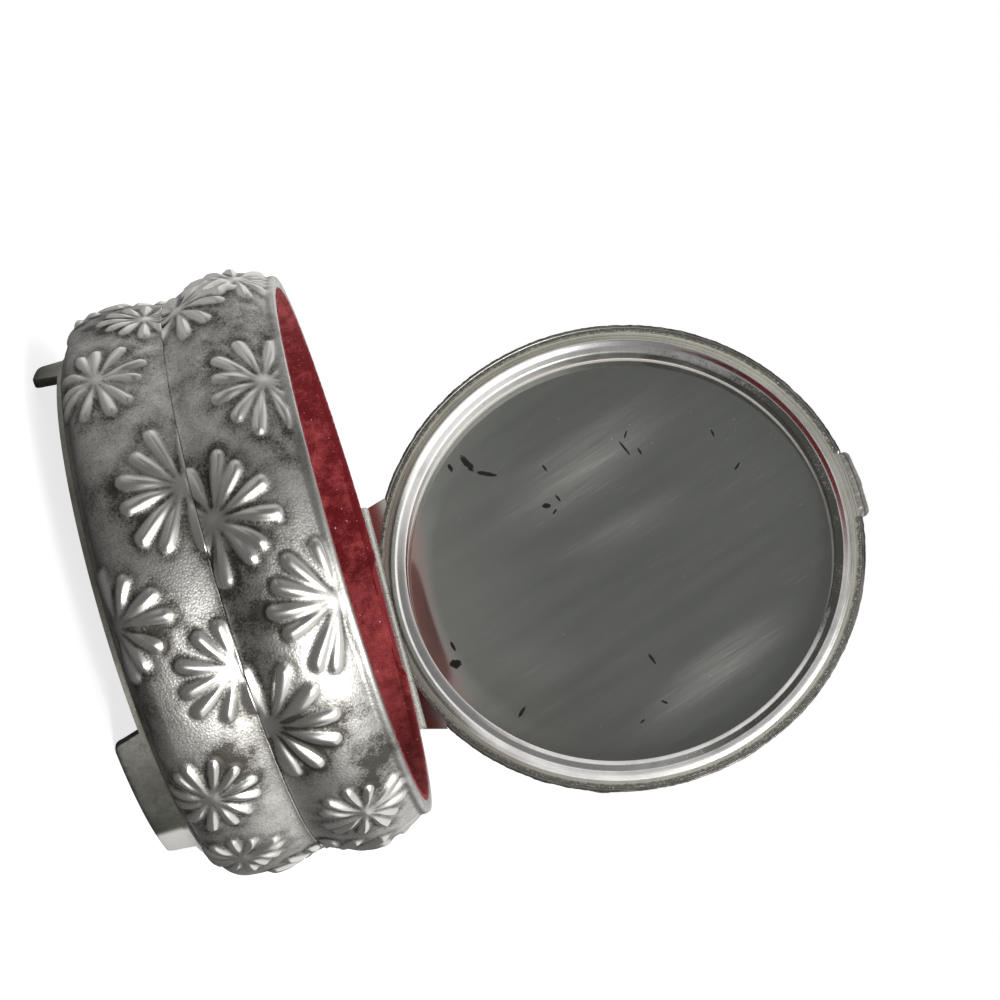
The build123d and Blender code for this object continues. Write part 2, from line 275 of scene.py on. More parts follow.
# Centre's angle round the drum and height, reach of the petals, number of petals, turn: first those in sight
UPPER_DAISIES = [
    (217.8, 29, 8, 12, 10),
    (226, 20.6, 8.6, 12, 4),
    (255.2, 30.6, 7.8, 12, 15),
    (279.2, 20.2, 8.8, 13, 0),
    (299.2, 32.5, 9, 14, 8),
    (319.2, 19.2, 9.2, 12, 3),
    (346.8, 26.8, 6.6, 12, 12),
    (10, 20.2, 8.6, 12, 0),
    (32, 30.6, 8, 12, 9),
    (55, 19.8, 8.8, 13, 5),
    (78, 25.6, 6.2, 12, 0),
    (100, 20, 8, 12, 14),
    (122, 28.6, 7.8, 12, 3),
    (145, 20, 8.8, 13, 7),
    (168, 30.4, 8, 12, 0),
    (190, 20.4, 8.6, 12, 11),
]
LOWER_DAISIES = [
    (223.2, 16.6, 6.6, 12, 0),
    (243.5, 9.9, 6.9, 11, 8),
    (271.2, 18, 9, 13, 4),
    (293, 5, 7.8, 12, 0),
    (306.2, 18, 7.6, 12, 7),
    (330.8, 9.6, 6.4, 12, 12),
    (352.8, 9.6, 6, 12, 0),
    (15, 17.8, 8.4, 12, 0),
    (36, 6.6, 7.6, 12, 10),
    (60, 18, 8.6, 13, 5),
    (82, 8.6, 6.4, 12, 0),
    (105, 17.8, 8.2, 12, 9),
    (128, 6.8, 7.6, 12, 2),
    (150, 18, 8.6, 13, 0),
    (171, 9.4, 6.2, 12, 7),
    (190, 17.8, 8.4, 12, 3),
    (205, 6.8, 7.2, 12, 0),
]


# Patches on the drum: on the side in sight partly tarnishing and partly painted shade, and painted highlight where
# the strength is negative; round the back, tarnishing only. Angle round it, height, half width and strength
TARNISH_AND_PAINTED_LIGHT = [
    (298.5, 22.2, 4.2, 0.45),
    (322.5, 22, 4.4, 0.8),
    (310.5, 5.5, 4, 0.5),
    (332.5, 30.9, 3.6, 0.95),
    (338.5, 29.5, 3, 0.4),
    (322.2, 13.7, 3.2, 0.6),
    (270.1, 8.5, 4.5, 0.4),
    (292, 7.5, 3.5, 0.1),
    (272, 21, 7, 0.25),
    (311.5, 28.6, 4.4, -0.45),
    (271, 32, 3, 0.45),
    (221, 12, 6, 0.35),
    (236.5, 29, 5, 0.4),
    (265.5, 29.5, 5.5, -0.18),
    (263, 21.5, 4.5, -0.15),
    (296.1, 10.6, 3, 0.3),
    (327.5, 11.7, 4, 0.3),
    (284, 26.5, 4, 0.28),
    (307.7, 20.5, 3.4, 0.25),
    (20, 28, 6, 0.5),
    (70, 11, 6, 0.5),
    (140, 26, 6, 0.5),
    (180, 14, 6, 0.5),
]


def tarnish_and_light_at(angle, height):
    """Strength of the patches of tarnishing, painted shade and painted highlight: the sum of one bell for each patch.
    """
    total = np.zeros(np.broadcast(angle, height).shape)
    for turn, level, half, strength in TARNISH_AND_PAINTED_LIGHT:
        gap = (angle - math.radians(turn) + math.pi) % (2 * math.pi) - math.pi
        total += strength * np.exp(-((gap * FLAT_RADIUS / half) ** 2) - ((height - level) / half) ** 2)
    return total


def soften(values, times):
    """The grid's values averaged with their neighbours, weights 1 2 1 each way, round the columns."""
    for _ in range(times):
        values = 0.5 * values + 0.25 * (np.roll(values, 1, axis=1) + np.roll(values, -1, axis=1))
        padded = np.concatenate([values[:1], values, values[-1:]])
        values = 0.5 * values + 0.25 * (padded[:-2] + padded[2:])
    return values


def band_relief(angle, height, daisies, daylight):
    """Relief, film and ground grain over a band, each faded to nothing where there is no daylight.

    The band is laid flat at one mean radius, so a daisy is as wide as it is tall. The small factor gives
    back the height that softening takes from the crests.
    """
    x = angle * FLAT_RADIUS
    marks = [(math.radians(a) * FLAT_RADIUS, z, reach, petals, turn) for a, z, reach, petals, turn in daisies]
    relief, film = daisy_field(x, height, marks, wrap=2 * math.pi * FLAT_RADIUS)
    relief = soften(relief, 4) * 1.08
    ground = 1.0 - smooth(relief, 0.0, 0.25)
    return relief * daylight, film * daylight, pebbles(x, height, 7) * ground * daylight


def plate_values(relief, film, tarnish_and_painted_light, daylight, inner_rows):
    """What the plate's finish reads: values for the outer rows, then those of the plain inner side."""
    outer = {"relief": relief, "film": film, "tarnish_and_painted_light": tarnish_and_painted_light, "plain": 1.0 - daylight * np.ones_like(relief)}
    inner = np.zeros((inner_rows, relief.shape[1]))
    return {key: np.concatenate([value, inner + (key == "plain")]) for key, value in outer.items()}


def make_band(name, node, outer_path, inner_path, daisies, upper):
    """A sheet band round the drum: the outer profile pushed in by the ground's depth and out by the relief.

    The profile runs down, from the rim to the seam or from the seam to the base. Its end away from the seam
    stays plain, and the one at the seam curls out by a hyperbola. The relief is along the profile's normal.
    The upper band's back is pressed to the hinge's plane, and the hinge's trough is cut along its top.
    """
    rows, curl, curl_slope = 76, 0.4, 0.7
    path, run = even(outer_path, rows)
    normals = side_normals(path)
    off_edge, off_seam = (run, run[-1] - run) if upper else (run[-1] - run, run)
    angle = round_angles(BAND_COLUMNS)
    ground = GROUND_DEPTH * smooth(off_edge, 0.15, 1.3)[:, None]
    daylight = smooth(off_edge, 0.5, 1.5)[:, None]
    tall, wide = np.meshgrid(path[:, 1], angle, indexing="ij")
    relief, film, grain = band_relief(wide, tall, daisies, daylight)
    push = -ground + np.minimum(relief * RELIEF_HEIGHT, ground) + 0.007 * grain
    radius = path[:, :1] + push * normals[:, :1]
    radius += (np.hypot(curl_slope * off_seam, curl) - curl_slope * off_seam)[:, None]
    level = path[:, 1:] + push * (normals[:, 1] * smooth(off_seam, 0.0, 1.5))[:, None]
    points = about_axis(with_inner(radius, inner_path[:, 0]), angle, with_inner(level, inner_path[:, 1]))
    if upper:
        x, y, z = np.moveaxis(points, -1, 0)
        depth = np.repeat([0.0, BAND_WALL], [len(path), len(inner_path)])[:, None]
        y[:] = np.minimum(y, LEAF_Y - depth + np.maximum(SHELF_Z - z, 0.0))
        off_pin = np.abs(y - HINGE_Y)
        trough = HINGE_Z - np.sqrt(np.maximum(TROUGH_RADIUS**2 - off_pin**2, 0.0))
        within = (np.abs(x) < HINGE_HALF + 0.1) & (off_pin < TROUGH_RADIUS)
        z[:] = np.where(within, np.minimum(z, trough), z)
    values = plate_values(relief, film, tarnish_and_light_at(wide, tall), daylight, len(inner_path))
    return grid_piece(name, points, embossed, "drum", node, values=values)


# Shading


class Wire:
    """A socket whose operators add the Math nodes that work them out."""

    def __init__(self, tree, socket=None):
        self.tree = tree
        self.socket = socket

    def add(self, kind, settings=(), inputs=(), output=0):
        """Adds a node: its settings are set first, then its sockets' values or links."""
        node = self.tree.nodes.new("ShaderNode" + kind)
        for key, value in dict(settings).items():
            setattr(node, key, value)
        for key, value in dict(inputs).items():
            if isinstance(value, Wire):
                self.tree.links.new(value.socket, node.inputs[key])
            else:
                node.inputs[key].default_value = value
        return Wire(self.tree, node.outputs[output])

    def math(self, operation, *values, clamp=False):
        return self.add("Math", {"operation": operation, "use_clamp": clamp}, dict(enumerate(values)))

    def __add__(self, other):
        return self.math("ADD", self, other)

    __radd__ = __add__

    def __mul__(self, other):
        return self.math("MULTIPLY", self, other)

    __rmul__ = __mul__

    def __sub__(self, other):
        return self.math("SUBTRACT", self, other)

    def __rsub__(self, other):
        return self.math("SUBTRACT", other, self)

    def __truediv__(self, other):
        return self.math("DIVIDE", self, other)

    def __neg__(self):
        return 0.0 - self

    def __pow__(self, other):
        return self.math("POWER", self, other)

    def clamp(self):
        return self.math("ADD", self, 0.0, clamp=True)

    def most(self, other):
        return self.math("MAXIMUM", self, other)

    def hypot(self, other):
        return (self * self + other * other) ** 0.5

    def step(self, low, high):
        """Smooth rise from 0 at low to 1 at high."""
        return self.add(
            "MapRange",
            {"interpolation_type": "SMOOTHSTEP", "clamp": True},
            {"Value": self, "From Min": low, "From Max": high},
        )

    def ramp(self, low, high):
        """The same rise, between two lengths in millimetres."""
        return self.step(low * MM, high * MM)

    @functools.cached_property
    def place(self):
        """The point's place in its piece's frame."""
        return self.add("TexCoord", {}, {}, 3)

    @functools.cached_property
    def xyz(self):
        split = self.add("SeparateXYZ", {}, {0: self.place})
        return [Wire(self.tree, out) for out in split.socket.node.outputs]

    def noise(self, scale, detail, rough=0.5, seed=0):
        inputs = {"Vector": self.place, "W": seed, "Scale": scale, "Detail": detail, "Roughness": rough}
        return self.add("TexNoise", {"noise_dimensions": "4D"}, inputs)

    def drawn_out(self, x, y, z, detail):
        """Noise over three coordinates, each scaled beforehand by its own factor."""
        vector = self.add("CombineXYZ", {}, {0: x, 1: y, 2: z})
        return self.add("TexNoise", {}, {"Vector": vector, "Scale": 1.0, "Detail": detail})

    def cells(self, scale):
        """Distance to the nearest of scattered points, with soft borders."""
        inputs = {"Vector": self.place, "Scale": scale, "Smoothness": 0.5}
        return self.add("TexVoronoi", {"feature": "SMOOTH_F1"}, inputs)

    def blend(self, share, first, second):
        """A colour mixed from two by a share, each of them a wire or three numbers."""
        first, second = (one if isinstance(one, Wire) else (*one, 1.0) for one in (first, second))
        return self.add("Mix", {"data_type": "RGBA", "clamp_factor": True}, {0: share, 6: first, 7: second}, 2)

    def layers(self, colour, *over):
        """A colour with others laid over it, each by its share."""
        for share, other in over:
            colour = self.blend(share, colour, other)
        return colour

    def bump(self, height, distance, strength):
        return self.add("Bump", {}, {"Height": height, "Distance": distance, "Strength": strength})

    def ray(self, kind):
        """1 for a ray of a kind, 0 for others."""
        return self.add("LightPath", {}, {}, f"Is {kind} Ray")

    def value_of(self, name):
        """The piece's own value of that name at each point."""
        return self.add("Attribute", {"attribute_name": name}, {}, 2)


def about_lid(x, z):
    """The rise over the lid's centre, and the distance from the lid's axis."""
    rise = z - LID_Z * MM
    return rise, x.hypot(rise)


def new_finish(name, fixed, varied):
    """A material: fixed holds what is the same all over, varied(wire) gives what changes over the surface.

    What changes is kept between 0 and 1, apart from colours and normals.
    """
    material = bpy.data.materials.new(name)
    material.use_nodes = True
    tree = material.node_tree
    shader = tree.nodes["Principled BSDF"]
    for key, value in fixed.items():
        shader.inputs[key].default_value = value
    for key, value in varied(Wire(tree)).items():
        value = value.clamp() if key in ("Roughness", "Metallic") else value
        tree.links.new(value.socket, shader.inputs[key])
    return material


def embossed_silver(wire):
    """Antiqued plate: bright crests, a dark film in the grooves and between the ground's pebbles, and patches of
    tarnishing, painted shade and painted highlight.
    """
    relief, margin = wire.value_of("relief"), wire.value_of("plain")
    near_petals, tarnish_and_painted_light = wire.value_of("film"), wire.value_of("tarnish_and_painted_light")
    pebble = wire.cells(3500)
    fine = wire.noise(5200, 3, 0.6, 3)
    cloud = wire.noise(95, 4, 0.55, 1)
    patch = wire.noise(420, 4, 0.6, 2)
    crest = relief.step(0.05, 0.5)
    ground = (1 - crest) * (1 - margin * 0.5)
    film = (0.3 + 1.5 * (cloud - 0.5) + (patch - 0.5) + 0.9 * (fine - 0.5) + 0.4 * (pebble - 0.4)) * ground
    # tarnish_and_painted_light: tarnishing, and on the drum also painted shade, or painted highlight where it is
    # negative
    film = (film + (0.38 * near_petals + tarnish_and_painted_light * (0.3 + 0.7 * ground)) * (0.5 + patch)).clamp()
    film = (film + 0.3 * margin * (0.4 + patch) - 0.8 * (margin * tarnish_and_painted_light) * fine.step(0.56, 0.68)).clamp()
    bright = wire.blend(cloud.step(0.3, 0.7), (0.6, 0.585, 0.55), (0.68, 0.67, 0.64))
    colour = wire.blend(film, bright, (0.075, 0.07, 0.06))
    grain = (0.7 * (1 - pebble) + 0.4 * fine) * ground + 0.05 * patch
    return {
        "Base Color": colour,
        "Roughness": 0.25 + 0.12 * ground + 0.18 * film + 0.12 * (patch - 0.5),
        "Normal": wire.bump(grain, 0.00006, 0.6),
    }


def tarnished_silver(wire):
    """The feet's plate: greenish grey and tarnished, with cloudy lighter wear, and one foot's end painted pale as a
    painted highlight.
    """
    cloud = wire.noise(160, 4, 0.6)
    rub = wire.noise(1800, 4, 0.7, 2)
    x, y, _ = wire.xyz
    # end: a painted highlight, pale and less metallic, on one foot's end
    end = y.ramp(-8.6, -7) * x.ramp(28, 30)
    wear = (1.6 * (cloud - 0.5) + 0.7 * (rub - 0.5) + 0.34 + 0.3 * end).clamp()
    colour = wire.blend(wear, (0.17, 0.17, 0.14), (0.46, 0.45, 0.41))
    return {
        "Base Color": wire.blend(end * 0.85, colour, (0.78, 0.77, 0.73)),
        "Metallic": 1 - 0.7 * end,
        "Roughness": 0.3 + 0.18 * rub - 0.06 * wear,
        "Normal": wire.bump(rub, 0.00004, 0.5),
    }


def turned_silver(wire):
    """The bezel's spun sheet: a bright bead, a dull beige flange with fine rings, and a dark rough edge.

    The zones follow the distances from the lid's axis and from the bead's, the depth behind the face, and
    the place across and up the lid. Inside the bead the slope, the ledge and the wall are darkened as painted shade,
    a pale line beside the glass is a painted highlight, and parts of the bead are made pale as a painted highlight.
    """
    x, y, z = wire.xyz
    rise, radius = about_lid(x, z)
    depth = y - LID_Y * MM
    from_bead = (x - BEAD_SHIFT * MM).hypot(rise)
    ring = wire.add("TexNoise", {"noise_dimensions": "1D"}, {"W": from_bead, "Scale": 5200.0, "Detail": 3.0})
    cloud = wire.noise(160, 4, 0.6)
    grit = wire.noise(4200, 3, 0.65, 4)
    flange = from_bead.ramp(33.88, 34.02)
    by_tab = rise.ramp(30, 32) * (1 - ((x * x) ** 0.5).ramp(4.9, 5.3))
    ragged = radius + 0.0012 * (wire.noise(1500, 4, 0.7, 6) - 0.5)
    edge = ragged.ramp(34.7, 35) * (1 - 0.85 * by_tab)
    dull = (0.38 + 2.4 * (ring - 0.5) + 0.8 * (grit - 0.5) + 0.8 * (cloud - 0.5)).clamp() * flange
    lip = (1 - radius.ramp(31.95, 32.15)) * x.ramp(14, 26)
    # ledge, slope and wall: painted shade, darkening the ledge and wall inside the bead and the bead's outer slope on
    # the hinge side
    ledge = (1 - from_bead.ramp(32.52, 32.66)) * rise.ramp(-12, 6) * (1 - lip)
    ledge = ledge * (1 - 0.5 * (-x).ramp(14, 28))
    slope = from_bead.ramp(32.88, 33.05) * (-rise).ramp(24, 31)
    slope = slope.most(ledge) * (1 - flange)
    wall = (1 - radius.ramp(31.6, 31.9)) * depth.ramp(0.1, 0.3) * (1 - 0.75 * (-x).ramp(6, 24))
    # line: a painted highlight, pale and less metallic, beside the glass and low on the wall
    line = (1 - radius.ramp(31.43, 31.5)) * (1 - depth.ramp(0.15, 0.25))
    line = (line * (-rise).ramp(-2, 8)).most(depth.ramp(2.15, 2.25) * 0.9)
    crest = from_bead.ramp(32.55, 32.8)
    # painted_crest_highlight: parts of the bead made pale and less metallic as a painted highlight
    painted_crest_highlight = (crest * (-rise).ramp(8, 26)).most(crest.most(lip) * x.ramp(12, 28))
    painted_crest_highlight = painted_crest_highlight.most((-rise - 1.6 * x).ramp(38, 60)) * (1 - slope) * (1 - flange)
    film = (cloud - 0.45).most(0.0) * 1.2 + 0.45 * grit.step(0.58, 0.75) * (1 - 0.6 * painted_crest_highlight)
    # film: tarnishing, with the painted shade of the slope and the wall added
    film = (film + slope * (0.35 + 1.3 * grit) + wall).clamp() * (1 - flange) * (1 - line)
    # dark: the film's colour, darker towards the tab and on the wall as painted shade
    dark = wire.blend(rise.ramp(0, 12).most(wall), (0.2, 0.21, 0.185), (0.06, 0.06, 0.052))
    beige = wire.blend((-x).ramp(4, 26), (0.58, 0.565, 0.5), (0.76, 0.74, 0.63))
    beige = wire.blend(dull, beige, (0.25, 0.24, 0.195))
    worn_edge = wire.blend(grit.step(0.52, 0.66), (0.13, 0.13, 0.11), (0.5, 0.49, 0.45))
    colour = wire.layers(
        (0.9, 0.89, 0.87), (film, dark), (line, (0.86, 0.76, 0.73)), (flange, beige), (edge, worn_edge)
    )
    # The metal falls where the painted highlights and painted shade are, so their base colours show
    metal = 1 - 0.35 * flange - 0.1 * edge - 0.75 * line - 0.65 * slope.most(wall) - 0.8 * painted_crest_highlight * (1 - wall)
    return {
        "Base Color": colour,
        "Metallic": metal,
        "Roughness": 0.12 + 0.28 * film + 0.26 * flange + 0.1 * grit,
        "Normal": wire.bump(0.5 * ring * (1.0 + flange) + 0.3 * grit + 1.2 * edge * grit, 0.00005, 0.6),
    }


def pitted_silver(wire):
    """The tab's plate: mottled beige grey with dark pits and a dark line inside its rolled edge."""
    x, _, z = wire.xyz
    _, radius = about_lid(x, z)
    cloud = wire.noise(700, 4, 0.65)
    grit = wire.noise(2600, 3, 0.65, 4)
    pits = (0.6 * cloud + 0.4 * grit).step(0.57, 0.63)
    line = 1 - ((radius - 36.35 * MM + 0.0004 * (cloud - 0.5)) / (0.14 * MM)) ** 2
    colour = wire.blend((cloud + 0.5 * (grit - 0.5)).step(0.35, 0.65), (0.46, 0.445, 0.4), (0.31, 0.3, 0.27))
    colour = wire.blend(pits.most(line.clamp() * 0.7), colour, (0.1, 0.1, 0.085))
    return {
        "Base Color": colour,
        "Roughness": 0.35 + 0.25 * grit + 0.1 * pits,
        "Metallic": 0.75 - 0.3 * pits,
        "Normal": wire.bump(cloud + 0.5 * grit - 0.6 * pits, 0.00012, 0.8),
    }


def hinge_silver(wire):
    """Rolled sheet: fine lines along the hinge, rubbed bright, with grime between them; the leaves are polished.

    A knuckle is what lies within about 0.9 mm of the hinge's axis.
    """
    x, y, z = wire.xyz
    lines = wire.drawn_out(x * 60.0, y * 4200.0, z * 4200.0, 3.0)
    knuckle = 1 - (y - HINGE_Y * MM).hypot(z - HINGE_Z * MM).ramp(0.8, 0.95)
    cloud = wire.noise(300, 4, 0.6)
    film = (0.45 * (cloud - 0.4) + 0.55 * lines.step(0.5, 0.75) * knuckle).clamp()
    grit = wire.noise(3600, 3, 0.7, 4).step(0.5, 0.66) * knuckle
    colour = wire.blend((film - 0.3 * grit).clamp(), (0.88, 0.87, 0.8), (0.36, 0.34, 0.27))
    return {
        "Base Color": colour,
        "Metallic": 1 - 0.25 * knuckle - 0.35 * grit,
        "Roughness": 0.09 + 0.13 * knuckle + 0.25 * film,
        "Normal": wire.bump(lines * knuckle, 0.00005, 0.5),
    }


def velvet_nap(wire):
    """Crimson pile: brushed light and dark patches, a fibrous grain and pale lint, with painted shade along its
    rolled top edge.
    """
    brushed = wire.noise(110, 4, 0.6)
    blotch = wire.noise(420, 4, 0.65, 1)
    fibre = wire.noise(5200, 2, 0.7, 2)
    lint = wire.noise(2300, 1, 0.4, 6).step(0.73, 0.77)
    x, y, z = wire.xyz
    by_hinge = (1 - ((x - 6.0 * MM) / (15.0 * MM)) ** 2).clamp() * y.ramp(0, 20)
    shade = 0.18 + 0.38 * by_hinge + 1.3 * (brushed - 0.5) + 2.2 * (blotch - 0.5) + 1.6 * (fibre - 0.5)
    # top: painted shade, darkening the rolled top edge and the top at the back
    top = z.ramp(32.3, 32.8).most(z.ramp(32.05, 32.3) * y.ramp(26, 30) * 1.5)
    shade = (shade - 0.28 * top).clamp()
    deep = wire.blend(shade, (0.12, 0.007, 0.01), (0.5, 0.086, 0.088))
    colour = wire.blend(lint, deep, (0.75, 0.5, 0.48))
    return {
        "Base Color": colour,
        "Roughness": 0.85 + 0.15 * fibre,
        "Normal": wire.bump(0.5 * blotch + fibre, 0.00022, 0.8),
    }


def aged_mirror(wire):
    """Old silvered glass: a grey tone with wiped streaks, dust, fine scratches and lost spots, a painted reflection
    of the velvet by the hinge and painted highlights on wiped bands and along the edge.

    Streaks run along (-0.3, 0.95) in the mirror's plane. A mark is an ellipse whose outline a noise bends.
    """
    x, y, z = wire.xyz
    along, across = z * 0.95 - x * 0.3, x * 0.95 + z * 0.3
    wipe = wire.drawn_out(along * 30.0, y, across * 420.0, 4.0)
    scratch = wire.drawn_out(along * 150.0, y, across * 3200.0, 2.0)
    cloud = wire.noise(26, 3, 0.5, 2)
    dust = wire.noise(2900, 2, 0.5, 5).step(0.73, 0.77)

    def spot(mx, mz, half_long, half_wide, tilt):
        """One inside a turned ellipse's middle, falling to nothing and below outside."""
        c, s = math.cos(tilt), math.sin(tilt)
        u = ((x - mx * MM) * c + (z - mz * MM) * s) / (half_long * MM)
        v = ((z - mz * MM) * c - (x - mx * MM) * s) / (half_wide * MM)
        return 1 - u.hypot(v)

    # wipe_highlight: painted highlight on the wiped bands; haze_and_highlight adds it to the real wiped haze
    wipe_highlight = sum(spot(*ellipse).step(0.0, 1.0) * strength for *ellipse, strength in MIRROR_WIPE_HIGHLIGHTS)
    haze_and_highlight = 0.18 + 0.24 * (wipe - 0.5) + 0.14 * (cloud - 0.5) + wipe_highlight * (0.1 + 0.9 * wipe + 1.2 * (scratch - 0.3))
    haze_and_highlight = (haze_and_highlight + 0.17 * scratch.step(0.62, 0.74)).clamp()
    rise, radius = about_lid(x, z)
    near_hinge = (-rise).ramp(25, 30)
    # painted_velvet_reflection: a maroon painted reflection of the velvet, near the ring on the hinge side
    painted_velvet_reflection = radius.ramp(27, 31) * near_hinge
    haze_and_highlight = haze_and_highlight * (1 - 0.6 * near_hinge) * (1 - 0.2 * painted_velvet_reflection)
    low_corner = x.ramp(4, 22) * (-rise).ramp(0, 18)
    # rim: a painted highlight, a pale, less metallic line along part of the glass's edge
    rim = radius.ramp(31.05, 31.18) * rise.ramp(-14, 2).most((-x).ramp(8, 20))
    wobble = 1.3 * (wire.noise(1500, 3, 0.6, 3) - 0.5)
    mark = functools.reduce(Wire.most, [(spot(*ellipse) + wobble).step(0.0, 0.25) for ellipse in MIRROR_MARKS])
    colour = wire.layers(
        (0.285, 0.3, 0.275),
        (low_corner, (0.2, 0.205, 0.185)),
        (near_hinge, (0.33, 0.32, 0.3)),
        (painted_velvet_reflection, (0.46, 0.3, 0.27)),
        (haze_and_highlight, (0.66, 0.67, 0.63)),
        (dust * 0.6, (0.72, 0.66, 0.56)),
        (mark, (0.012, 0.011, 0.01)),
        (rim * 0.62, (0.74, 0.75, 0.71)),
    )
    return {
        "Base Color": colour,
        "Roughness": 0.085 - 0.045 * near_hinge + 0.1 * haze_and_highlight + 0.4 * dust + 0.4 * mark,
        "Metallic": 0.9 - 0.12 * painted_velvet_reflection - 0.1 * haze_and_highlight - 0.6 * mark - 0.6 * dust - 0.5 * rim,
    }


# Wiped bands painted lighter as a painted highlight: centre across and up, half length, half width, tilt, strength
MIRROR_WIPE_HIGHLIGHTS = [
    (-15.1, 66.5, 20, 7.5, 1.96, 0.66),
    (20.1, 77.2, 17, 4.2, 1.95, 0.75),
    (-4.1, 69.9, 15, 3.6, 1.76, 0.36),
    (12, 52, 9, 5, 1.5, 0.12),
]

# Lost spots in the silvering: centre across and up, half length, half width, tilt
MIRROR_MARKS = [
    (-20.9, 47.4, 0.75, 0.36, 0.1),
    (-20.9, 50.0, 1.85, 0.58, 0.4),
    (-18.4, 52.3, 1.7, 0.42, 1.1),
    (-16.6, 61.0, 0.8, 0.2, 0.3),
    (-11.5, 61.6, 0.75, 0.22, 0.4),
    (-10.8, 59.7, 0.8, 0.45, 1.3),
    (-9.6, 60.6, 0.6, 0.2, 2.3),
    (-16.3, 73.2, 1.6, 0.2, 0.35),
    (-18.2, 74.0, 0.8, 0.18, 2.6),
    (-15.0, 75.3, 0.7, 0.2, 0.2),
    (-14.5, 86.5, 0.8, 0.22, 0.1),
    (-8.4, 88.4, 0.8, 0.22, 2.3),
    (8.8, 40.4, 0.95, 0.72, 1.3),
    (6.1, 40.7, 1.00, 0.25, 0.2),
    (18.6, 47.8, 0.95, 0.3, 2.3),
    (16.4, 68.1, 1.2, 0.25, 0.3),
    (23.1, 68.0, 0.6, 0.2, 0.9),
    (24.9, 64.2, 0.5, 0.18, 2.0),
]


def moulded_cup(wire):
    """The insert's dull moulded face."""
    cloud = wire.noise(200, 4, 0.6)
    return {
        "Base Color": wire.blend(cloud, (0.19, 0.013, 0.018), (0.37, 0.036, 0.044)),
        "Roughness": 0.5 + 0.2 * cloud,
        "Normal": wire.bump(wire.noise(3000, 2), 0.00003, 0.5),
    }


def grey_card(wire):
    """Pressed card: a fibrous brown grey."""
    fibre = wire.noise(1500, 4, 0.7)
    return {
        "Base Color": wire.blend(fibre, (0.36, 0.28, 0.19), (0.56, 0.46, 0.34)),
        "Roughness": 0.8 + 0.15 * fibre,
        "Normal": wire.bump(fibre, 0.00005, 0.6),
    }


embossed = new_finish("embossed silver", {"Metallic": 1.0}, embossed_silver)
tarnished = new_finish("tarnished silver", {}, tarnished_silver)
turned = new_finish("turned silver", {}, turned_silver)
pitted = new_finish("pitted silver", {}, pitted_silver)
rolled = new_finish("rolled silver", {}, hinge_silver)
velvet = new_finish(
    "crimson velvet",
    {"Sheen Weight": 0.3, "Sheen Roughness": 0.45, "Sheen Tint": (0.95, 0.35, 0.35, 1), "Specular IOR Level": 0.15},
    velvet_nap,
)
mirror = new_finish("aged mirror", {}, aged_mirror)
cup = new_finish("moulded cup", {}, moulded_cup)
card = new_finish("grey card", {"Specular IOR Level": 0.2}, grey_card)


# Camera: its focal length in pixels of a square picture, then its right, up and backward directions and its
# place as the matrix's columns
SENSOR = 36.0
FOCAL_PIXELS = 2580.6
PICTURE_PIXELS = 1000.0

camera_data = bpy.data.cameras.new("camera")
camera_data.sensor_width = camera_data.sensor_height = SENSOR
camera_data.sensor_fit = "HORIZONTAL"
camera_data.lens = FOCAL_PIXELS * SENSOR / PICTURE_PIXELS
camera_data.clip_start = 0.01
camera_data.clip_end = 20.0
camera = new_object("camera", camera_data)
camera.matrix_world = Matrix(
    (
        (0.25968, -0.90192, 0.34513, 0.119058),
        (0.10366, -0.32929, -0.93852, -0.323957),
        (0.96012, 0.27949, 0.00798, 0.056318),
        (0.0, 0.0, 0.0, 1.0),
    )
)
scene.camera = camera

# Drum: the two bands' profiles, with a quadratic curve from the lower one's bowed part round to the base
upper_outer = arc_through(
    (RIM_RADIUS, RIM_HEIGHT), (UPPER_BULGE_RADIUS, (SEAM_HEIGHT + RIM_HEIGHT) / 2), (SEAM_RADIUS, SEAM_HEIGHT), 200
)
upper_inner = np.array(
    [
        (SEAM_RADIUS - BAND_WALL - 0.5, SEAM_HEIGHT),
        (UPPER_BULGE_RADIUS - BAND_WALL - 0.8, 25.9),
        (RIM_RADIUS - BAND_WALL, RIM_HEIGHT - BAND_WALL - 0.2),
        (LIP_INNER_RADIUS, RIM_HEIGHT - BAND_WALL),
        (LIP_INNER_RADIUS, RIM_HEIGHT - 0.12),
        (LIP_INNER_RADIUS + 0.12, RIM_HEIGHT),
        (RIM_RADIUS - 0.3, RIM_HEIGHT),
    ]
)
make_band("upper_band_sheet", "upper_band", upper_outer, upper_inner, UPPER_DAISIES, upper=True)

bowed = arc_through((SEAM_RADIUS, SEAM_HEIGHT), (LOWER_BULGE_RADIUS, 12.21), (LOWER_EDGE_RADIUS, BASE_TOP), 400)
bowed = bowed[bowed[:, 1] > BASE_TOP + LOWER_SHOULDER]
knee = np.array([LOWER_EDGE_RADIUS + 0.1, BASE_TOP + 0.35])
corner = np.array([LOWER_EDGE_RADIUS - LOWER_SHOULDER - 0.25, BASE_TOP])
share = np.linspace(0, 1, 60)[1:, None]
turn_in = (1 - share) ** 2 * bowed[-1] + 2 * share * (1 - share) * knee + share**2 * corner
lower_outer = np.concatenate([bowed, turn_in])
lower_inner = np.array(
    [
        (32.0, BASE_TOP),
        (32.0, BASE_TOP + BAND_WALL),
        (36.0, BASE_TOP + BAND_WALL),
        (LOWER_BULGE_RADIUS - BAND_WALL - 0.8, 12.2),
        (SEAM_RADIUS - BAND_WALL - 0.5, SEAM_HEIGHT),
    ]
)
make_band("lower_band_sheet", "lower_band", lower_outer, lower_inner, LOWER_DAISIES, upper=False)


# Feet


